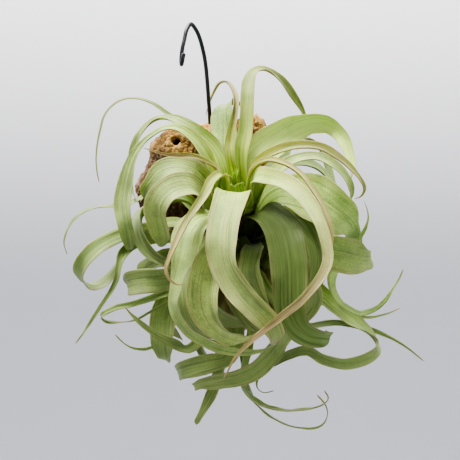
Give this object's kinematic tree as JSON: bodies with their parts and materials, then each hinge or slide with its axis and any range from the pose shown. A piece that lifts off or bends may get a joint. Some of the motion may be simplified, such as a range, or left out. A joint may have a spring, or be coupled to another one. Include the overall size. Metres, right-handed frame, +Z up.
{
  "type": "air plant",
  "caption": "Curly-leaved air plant glued to a chunk of cork bark, hung from a bent wire hook.",
  "frame": {"origin": "the hook's seat, on the inside of the wire at the top of its bend", "axes": "+Z up, as it hangs; +Y to the back, from the crown to the cork; +X to the right as seen from the front"},
  "size_m": [0.1749, 0.1227, 0.1962],
  "materials": {
    "leaf": "matte, with a pale bloom and fine lengthwise lines",
    "stem": "satin, lime green",
    "cork": "rough cork bark, matte",
    "wire": "black, satin",
    "glue": "set glue, slightly glossy"
  },
  "bodies": {
    "root": {"cork_chunk": "cork", "glue_bead": "glue", "hanger_wire": "wire", "leaf_back_broad": "leaf", "leaf_back_narrow": "leaf", "leaf_back_tall": "leaf", "leaf_front_centre": "leaf", "leaf_front_cup": "leaf", "leaf_front_left_broad": "leaf", "leaf_front_left_inner": "leaf", "leaf_front_left_thin": "leaf", "leaf_front_right_broad": "leaf", "leaf_front_right_inner": "leaf", "leaf_front_sweep": "leaf", "leaf_inner_centre": "leaf", "leaf_inner_left": "leaf", "leaf_inner_left_high": "leaf", "leaf_inner_left_low": "leaf", "leaf_inner_low": "leaf", "leaf_inner_right": "leaf", "leaf_inner_right_dark": "leaf", "leaf_left_arch": "leaf", "leaf_left_behind": "leaf", "leaf_left_dry": "leaf", "leaf_left_far_arc": "leaf", "leaf_left_feeler": "leaf", "leaf_left_fold": "leaf", "leaf_left_hoop": "leaf", "leaf_left_lower_broad": "leaf", "leaf_left_paddle": "leaf", "leaf_left_spike": "leaf", "leaf_left_upper_broad": "leaf", "leaf_low_crescent": "leaf", "leaf_low_left_broad": "leaf", "leaf_low_left_coil": "leaf", "leaf_low_left_drop": "leaf", "leaf_low_left_rise": "leaf", "leaf_low_left_tongue": "leaf", "leaf_low_right_curl": "leaf", "leaf_low_right_whip": "leaf", "leaf_lower_point": "leaf", "leaf_middle_arch": "leaf", "leaf_rear_centre": "leaf", "leaf_rear_drop": "leaf", "leaf_rear_left": "leaf", "leaf_rear_low": "leaf", "leaf_rear_right": "leaf", "leaf_right_broad": "leaf", "leaf_right_flag": "leaf", "leaf_right_hump": "leaf", "leaf_right_long": "leaf", "leaf_right_loop": "leaf", "leaf_right_shaded": "leaf", "leaf_right_tail": "leaf", "leaf_right_thin": "leaf", "leaf_right_under": "leaf", "leaf_right_wing": "leaf", "stem": "stem"}
  },
  "joints": []
}
